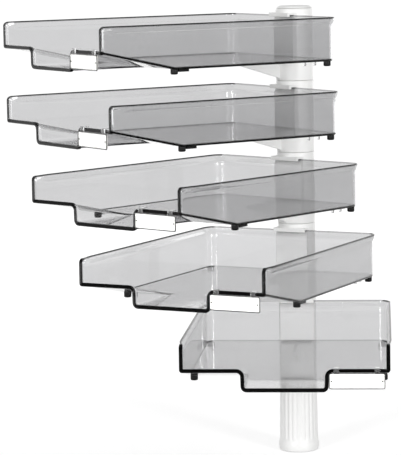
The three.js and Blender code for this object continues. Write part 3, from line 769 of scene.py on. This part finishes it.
def rounded_section(width, height, radius, steps=4):
    """A rectangle about the origin with quarter-circle corners."""
    w, h = width / 2 - radius, height / 2 - radius
    return np.concatenate([
        arc((w, h), radius, 0, 90, steps), arc((-w, h), radius, 90, 180, steps),
        arc((-w, -h), radius, 180, 270, steps), arc((w, -h), radius, 270, 360, steps)])


def peg(x, reach, radius, height, steps):
    """A peg under the floor: straight sides and a rounded lower edge, as rows of rings."""
    small = radius * PEG_ROUND
    low = arc((radius - small, -height + small), small, -90, 0, ROUND_STEPS)
    profile = np.concatenate([low, [[radius, -UNDER]]])
    points = turn_profile(profile, steps) / MM
    return shut(points + [x, reach, 0])


def runner(side):
    """A low bar along the wall's foot: a rounded section of width and height at two reaches, joined."""
    x = side * (half_width(FRONT_FOOT - RUNNER_LENGTH) - EDGE_ROUND - RUNNER_T / 2)
    section = rounded_section(RUNNER_T, RUNNER_H - UNDER, RUNNER_ROUND) + [x, -(RUNNER_H + UNDER) / 2]
    ends = (FRONT_FOOT - RUNNER_LENGTH, FRONT_FOOT - FOOT_R - RUNNER_GAP)
    return shut(np.stack([np.insert(section, 1, reach, axis=1) for reach in ends]))


feet = [
    peg(side * (half_width(r) - FOOT_INSET), r, FOOT_R, FOOT_H, FOOT_TURN)
    for side in (-1, 1) for r in (FRONT_FOOT, REAR_FOOT)]
pins = [
    peg(side * (half_width(r) - PIN_INSET), r, PIN_R, PIN_H, PIN_TURN)
    for side in (-1, 1) for r in (REAR_FOOT + PIN_STEP, REAR_FOOT + 2 * PIN_STEP)]
per_tier("tray_feet", feet + [runner(-1), runner(1)], thick, "smoke_clear")
per_tier("tray_pins", pins, smoke, "smoke_clear")
print("feet per tray:", len(feet), "pins per tray:", len(pins))

# %% [markdown]
# An arm's collar is a length of column, cut flat in front where the tray's rear wall stands against it. Instead
# of cutting, the radius at each angle is the smaller of the column's own and the distance to that flat, which
# is the flat's distance divided by the cosine of the angle from straight ahead. The flats stand half a
# millimetre behind the hook's plate and the ledge, because two faces in one plane would flicker.

# %% Arm collars
FIT = 0.3
COLLAR_H = TIER_PITCH - SEAM
HOOK_T = 2.7
PROUD = 0.5
RECESS, RECESS_H = 2.0, 3.5
FAR, LEAST_AHEAD = 99.0, 1e-3
CROWN_END_DEG, CROWN_EDGE_STEPS = 30, 6


def collar_points(top):
    """Rows of (plain radius, height, flat distance); radius = min(plain, flat / cos angle from ahead).
    top is the profile of the upper edge."""
    low, high = -TRAY_LIFT, COLLAR_H - TRAY_LIFT
    outer, small = SIZES["column_r"], SIZES["seam_round"]
    bottom = arc((outer - small, low + small), small, -90, 0, ROUND_STEPS)
    flat, step, roof = TRAY_BACK - FIT - PROUD, -FIT - PROUD, TRAY_H + FIT + PROUD
    rows = np.concatenate([
        np.column_stack([bottom, np.full(ROUND_STEPS, FAR)]),
        [[outer, step, FAR], [outer, step, flat], [outer, TRAY_H - RIM_H, flat]],
        [[outer, TRAY_H - RIM_H + RECESS_H, flat - RECESS]],
        [[outer, roof, flat - RIM_FLARE], [outer, roof, FAR]],
        np.column_stack([top + [0, high], np.full(len(top), FAR)]),
        [[SIZES["bore_r"], high, FAR], [SIZES["bore_r"], low, FAR]],
    ])
    angle = np.linspace(0, 2 * np.pi, TURN_STEPS, endpoint=False)
    ahead_share = np.maximum(np.sin(angle), LEAST_AHEAD)
    radius = np.minimum(rows[:, :1], rows[:, 2:] / ahead_share)
    return round_axis(radius, angle, rows[:, 1:2])


seam_round = SIZES["seam_round"]
plain_edge = arc((SIZES["column_r"] - seam_round, -seam_round), seam_round, 0, 90, ROUND_STEPS)
crown_edge = arc(
    (SIZES["column_r"] - CAP_ROUND, CAP_H + SEAM - CAP_ROUND), CAP_ROUND, 0, CROWN_END_DEG, CROWN_EDGE_STEPS)
crown_edge = np.concatenate([crown_edge, [[crown_edge[-1, 0] - SEAT_INSET, 0]]])
for top, tiers in ((crown_edge, [0]), (plain_edge, range(1, TIER_COUNT))):
    per_tier("arm_collar", [looped(collar_points(top))], white, "white_plastic", "swivel_arm", tiers)
print("collar height in mm:", COLLAR_H)

# %% [markdown]
# On the flat stands a plate nearly as wide as the column, which ends in a hook over the tray's rear rim.
# Under the floor a ledge and a thin triangular rib carry the weight. Each is an outline in reach and height
# carried straight across, and a small bevel rounds its edges.

# %% Arm hook, ledge and rib
PLATE_W, LEDGE_W, RIB_T = 46.0, 40.0, 4.0
PLATE_BACK = math.sqrt(SIZES["column_r"] ** 2 - (PLATE_W / 2) ** 2)
HOOK_LIP_T, HOOK_DROP, HOOK_ROOM = 3.5, 2.3, 2.5
LEDGE_REACH, LEDGE_T = 42.0, 3.0
RIB_REACH, RIB_TIP_H, RIB_ROOT_GAP, RIB_FILLET = 104.0, 3.0, 3.0, 3.0
RIB_SINK, FILLET_STEPS = 1.5, 6
PLATE_BEVEL, BAR_BEVEL = 0.7, 0.5


def across_x(outline, x0, x1):
    """An outline of (reach, height) at x0 and again at x1, joined to a closed bar."""
    outline = np.asarray(outline, float)
    ends = [np.column_stack([np.full(len(outline), x), outline]) for x in (x0, x1)]
    return shut(np.stack(ends))


lip_back = TRAY_BACK + TRAY_WALL + HOOK_ROOM
lip_front = lip_back + HOOK_LIP_T
hook_top = TRAY_H + FIT + HOOK_T
plate_front = TRAY_BACK - FIT
plate_low = PROUD - FIT - LEDGE_T
flare_start = TRAY_H - RIM_H
hook_outline = [
    (PLATE_BACK, plate_low), (plate_front, plate_low), (plate_front, flare_start),
    (plate_front - RECESS, flare_start + RECESS_H), (plate_front - RIM_FLARE, TRAY_H),
    (plate_front - RIM_FLARE, TRAY_H + FIT), (lip_back, TRAY_H + FIT), (lip_back, TRAY_H - HOOK_DROP),
    (lip_front, TRAY_H - HOOK_DROP), (lip_front, hook_top), (PLATE_BACK, hook_top)]
ledge_outline = [
    (PLATE_BACK, -FIT - LEDGE_T), (LEDGE_REACH, -FIT - LEDGE_T), (LEDGE_REACH, -FIT), (PLATE_BACK, -FIT)]
rib_root = SIZES["column_r"] - RIB_SINK
rib_low = RIB_ROOT_GAP - TRAY_LIFT
fillet_from, fillet_bend, fillet_to = np.array([
    [SIZES["column_r"], rib_low - RIB_FILLET / 2], [SIZES["column_r"] + RIB_FILLET / 3, rib_low],
    [SIZES["column_r"] + RIB_FILLET, rib_low + RIB_FILLET / 3]])
t = np.linspace(0, 1, FILLET_STEPS)[:, None]
fillet_curve = (1 - t) ** 2 * fillet_from + 2 * t * (1 - t) * fillet_bend + t ** 2 * fillet_to
rib_outline = np.concatenate([
    [(rib_root, -FIT - LEDGE_T / 2), (rib_root, rib_low - RIB_FILLET / 2)], fillet_curve,
    [(RIB_REACH, -FIT - RIB_TIP_H), (RIB_REACH, -FIT), (LEDGE_REACH, -FIT), (LEDGE_REACH, -FIT - LEDGE_T / 2)]])

arm_bars = {
    "arm_hook_plate": (across_x(hook_outline, -PLATE_W / 2, PLATE_W / 2), PLATE_BEVEL),
    "arm_ledge": (across_x(ledge_outline, -LEDGE_W / 2, LEDGE_W / 2), BAR_BEVEL),
    "arm_rib": (across_x(rib_outline, -RIB_T / 2, RIB_T / 2), BAR_BEVEL),
}
for bar_name, (bar, bevel_mm) in arm_bars.items():
    for bar_piece in per_tier(bar_name, [bar], white, "white_plastic"):
        soften(bar_piece, bevel_mm)
print("arm bars:", list(arm_bars))

# %% [markdown]
# The label hangs in front of the right-hand lip: a clear window with round corners, a shelf that the card
# stands on, and two tabs that hook back over the bead. The window is a rounded rectangle carried 1.2 mm
# forwards, and two small dark pips stand on it near its ends.

# %% Label window, tabs, pips and card
FROM_SCOOP, FROM_WALL, FROM_LIP = 1.5, 5.0, 1.5
LABEL_X = (SCOOP_HALF + FROM_SCOOP, half_width(TRAY_FRONT) - FROM_WALL)
LABEL_TOP, LABEL_H = LIP_H - FROM_LIP, 20.0
LABEL_BOTTOM = LABEL_TOP - LABEL_H
LABEL_BACK = TRAY_FRONT + FIT
CARD_T, WINDOW_T, WINDOW_RIM, SHELF_T = 0.6, 1.2, 1.6, 1.0
WINDOW_BACK = LABEL_BACK + CARD_T + FIT
TAB_W, TAB_INSET, TAB_T, TAB_HOOK = 7.0, 6.0, 0.8, 7.0
PIP_R, PIP_INSET, PIP_OUT, PIP_ROUND = 0.9, 3.4, 0.3, 0.98
WINDOW_CORNER, CARD_CORNER, CARD_INSET, CLIP_BEVEL = 2.5, 2.0, 1.0, 0.3
CORNER_POINTS = 6


def outline_at(x, z, radius, reach):
    """A rounded rectangle in x and height, standing at one reach."""
    outline = rounded_section(x[1] - x[0], z[1] - z[0], radius, CORNER_POINTS)
    outline = outline + [(x[0] + x[1]) / 2, (z[0] + z[1]) / 2]
    return np.column_stack([outline[:, 0], np.full(len(outline), reach), outline[:, 1]])


def plate(x, z, radius, reach0, reach1):
    """That outline at two reaches, joined to a closed plate."""
    return shut(np.stack([outline_at(x, z, radius, reach) for reach in (reach0, reach1)]))


rim_steps = ((WINDOW_RIM, 0), (0, 0), (0, WINDOW_T), (WINDOW_RIM / 2, WINDOW_T), (WINDOW_RIM, WINDOW_T))
# Painted shade round the window's outer edge, fading inwards over the rim's width.
window_rim_shade = [0.0, 1.0, 1.0, 1.0, 0.0]
window = shut(np.stack([
    outline_at(
        (LABEL_X[0] + inset, LABEL_X[1] - inset), (LABEL_BOTTOM + inset, LABEL_TOP - inset),
        WINDOW_CORNER - inset, WINDOW_BACK + forward)
    for inset, forward in rim_steps]))
shelf = across_x([
    (LABEL_BACK, LABEL_BOTTOM), (WINDOW_BACK - UNDER, LABEL_BOTTOM),
    (WINDOW_BACK - UNDER, LABEL_BOTTOM + SHELF_T), (LABEL_BACK, LABEL_BOTTOM + SHELF_T)],
    LABEL_X[0] + WINDOW_CORNER, LABEL_X[1] - WINDOW_CORNER)
tab_low = LIP_H + HALF_WALL + BEAD / 2 + FIT
clip_front = WINDOW_BACK + WINDOW_T
tab_back = TRAY_FRONT - TAB_HOOK
tab_outline = [
    (LABEL_BACK, LABEL_TOP + UNDER), (clip_front, LABEL_TOP + UNDER), (clip_front, tab_low + TAB_T),
    (tab_back, tab_low + TAB_T), (tab_back, tab_low), (LABEL_BACK, tab_low)]
tab_lefts = (LABEL_X[0] + TAB_INSET, LABEL_X[1] - TAB_INSET - TAB_W)
tabs = [across_x(tab_outline, left, left + TAB_W) for left in tab_lefts]
card_plate = plate(
    (LABEL_X[0] + CARD_INSET, LABEL_X[1] - CARD_INSET), (LABEL_BOTTOM + SHELF_T + FIT, LABEL_TOP - FIT),
    CARD_CORNER, LABEL_BACK, LABEL_BACK + CARD_T)
pip_z = (LABEL_BOTTOM + LABEL_TOP) / 2
pips = [
    plate(
        (x - PIP_R, x + PIP_R), (pip_z - PIP_R, pip_z + PIP_R), PIP_R * PIP_ROUND,
        clip_front + UNDER, clip_front + PIP_OUT)
    for x in (LABEL_X[0] + PIP_INSET, LABEL_X[1] - PIP_INSET)]

window_edge_shade = np.repeat(window_rim_shade, 4 * CORNER_POINTS)
others = sum(len(points) for points, _ in [shelf, *tabs])
holders = per_tier(
    "label_window", [window, shelf, *tabs], clear, "clear", "label_holder",
    edge=np.concatenate([window_edge_shade, np.zeros(others)]))
for holder in holders:
    soften(holder, CLIP_BEVEL)
per_tier("label_pips", pips, thick, "clear")
per_tier("label_card_blank", [card_plate], card, "card", "label_card")
print("label width in mm:", LABEL_X[1] - LABEL_X[0])

# %% [markdown]
# The mast and the washers are hidden inside the column, so the CAD solids stay and only get their materials.
# A node's mesh is never changed: its material slots are emptied and one material is put in.

# %% Carried-over nodes
for node_name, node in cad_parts.items():
    finish = steel if node_name == "mast_tube" else acetal if node_name.startswith("glide_washer") else None
    if finish:
        node.data.materials.clear()
        node.data.materials.append(finish)
print("nodes that keep their solids:", [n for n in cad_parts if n.startswith(("mast", "glide"))])

# %% [markdown]
# The floor is a wide pale disc under the column. The camera looks down a little, so the disc fills the whole
# view and is the background too. Its own glow makes up what the lamps leave short of white, and grows with the
# distance from the column, because the lamps light only the near floor. It shows to rays from the camera, off
# gloss and through glass, but not once a ray has left a matt surface, so it lights no matt surface and keeps
# the shadow. Therefore it need not be sampled as a lamp. The world behind is white to the same rays and gives
# all others a weaker fill light.

# %% Floor and world
FLOOR_RINGS_M, FLOOR_STEPS = (0.001, 0.5, 2.0, 8.0, 40.0), 64
FLOOR_Z = -0.0005
GLOW_NEAR, GLOW_FAR = 0.52, 0.74
GLOW_FROM_M, GLOW_TO_M = 0.8, 3.4
WORLD_LIGHT = 0.4
FIRST_BOUNCE = 0.5


def seen_by(tree):
    """1 for a ray from the camera, off gloss or through glass that has not left a matt surface, else 0."""
    ray = add(tree, "ShaderNodeLightPath")
    mirrored = add(tree, "ShaderNodeMath", {
        0: ray.outputs["Is Camera Ray"], 1: ray.outputs["Is Glossy Ray"]}, operation="MAXIMUM")
    shown = add(tree, "ShaderNodeMath", {
        0: mirrored.outputs[0], 1: ray.outputs["Is Transmission Ray"]}, operation="MAXIMUM")
    unspread = add(tree, "ShaderNodeMath", {
        0: ray.outputs["Diffuse Depth"], 1: FIRST_BOUNCE}, operation="LESS_THAN")
    return add(tree, "ShaderNodeMath", {
        0: shown.outputs[0], 1: unspread.outputs[0]}, operation="MULTIPLY").outputs[0]


ground, tree, output, place = start_material("pale_studio_floor")
ground.cycles.emission_sampling = "NONE"
mottle = add(tree, "ShaderNodeTexNoise", {"Vector": place, "Scale": per_mm(400), "Detail": 2.0})
colour = add(tree, "ShaderNodeMix", {
    "Factor": mottle.outputs["Fac"], MIX_A: linear("#E4E4E4"), MIX_B: linear("#E8E8E8")}, data_type="RGBA")
paint = add(tree, "ShaderNodeBsdfDiffuse", {"Color": colour.outputs[MIX_OUT]})
from_column = add(tree, "ShaderNodeVectorMath", {0: place}, operation="LENGTH")
lift = add(tree, "ShaderNodeMapRange", {
    "Value": from_column.outputs["Value"], "From Min": GLOW_FROM_M, "From Max": GLOW_TO_M,
    "To Min": GLOW_NEAR, "To Max": GLOW_FAR,
}, interpolation_type="SMOOTHSTEP")
strength = add(tree, "ShaderNodeMath", {0: seen_by(tree), 1: lift.outputs[0]}, operation="MULTIPLY")
glow = add(tree, "ShaderNodeEmission", {"Color": linear("#FFFFFF"), "Strength": strength.outputs[0]})
both = add(tree, "ShaderNodeAddShader", {0: paint.outputs[0], 1: glow.outputs[0]})
tree.links.new(both.outputs[0], output.inputs["Surface"])

floor_angle = np.linspace(0, 2 * np.pi, FLOOR_STEPS, endpoint=False)
floor_r = np.array(FLOOR_RINGS_M)[:, None]
disc = round_axis(floor_r, floor_angle, 0 * floor_r + FLOOR_Z)
disc_faces = grid_faces(*disc.shape[:2], wrap_columns=True).tolist()
floor_mesh = bpy.data.meshes.new("studio_floor")
floor_mesh.from_pydata(disc.reshape(-1, 3), [], disc_faces + [list(range(FLOOR_STEPS))])
floor_mesh.materials.append(ground)
studio_floor = bpy.data.objects.new("studio_floor", floor_mesh)
bpy.context.scene.collection.objects.link(studio_floor)

world = bpy.data.worlds.new("studio_world")
world.use_nodes = True
tree = world.node_tree
tree.nodes.clear()
sky_level = add(tree, "ShaderNodeMapRange", {"Value": seen_by(tree), "To Min": WORLD_LIGHT, "To Max": 1.0})
sky = add(tree, "ShaderNodeBackground", {"Color": linear("#FFFFFF"), "Strength": sky_level.outputs[0]})
add(tree, "ShaderNodeOutputWorld", {"Surface": sky.outputs[0]})
bpy.context.scene.world = world
print("floor and world set")

# %% [markdown]
# The light is frontal and soft: two tall softboxes stand behind the camera, left and right of it, and their
# reflections are the two upright streaks in each rear corner. Two weak broad ones behind the tower keep its
# rear from going grey. The world fills the rest, so white plastic renders as white.

# %% Softboxes
LAMP_AIM = (-0.05, -0.1, 0.35)


def softbox(name, at, size, watts):
    """A rectangular area lamp at a point, aimed at the middle of the tower."""
    lamp = bpy.data.lights.new(name, "AREA")
    lamp.shape = "RECTANGLE"
    lamp.size, lamp.size_y = size
    lamp.energy = watts
    box = bpy.data.objects.new(name, lamp)
    aim = np.subtract(LAMP_AIM, at)
    aim /= np.linalg.norm(aim)
    side = np.cross(aim, [0, 0, 1.0])
    side /= np.linalg.norm(side)
    axes = np.stack([side, np.cross(side, aim), -aim], axis=1)
    box.matrix_world = Matrix.Translation(at) @ Matrix(axes.tolist()).to_4x4()
    bpy.context.scene.collection.objects.link(box)


softbox("softbox_left", (-2.37, -4.1, 1.15), (1.0, 2.2), 94.0)
softbox("softbox_right", (2.59, -3.78, 1.15), (1.0, 2.2), 90.0)
softbox("softbox_back_left", (-1.5, 2.25, 1.0), (1.4, 1.8), 11.0)
softbox("softbox_back_right", (1.5, 2.25, 1.0), (1.4, 1.8), 11.0)
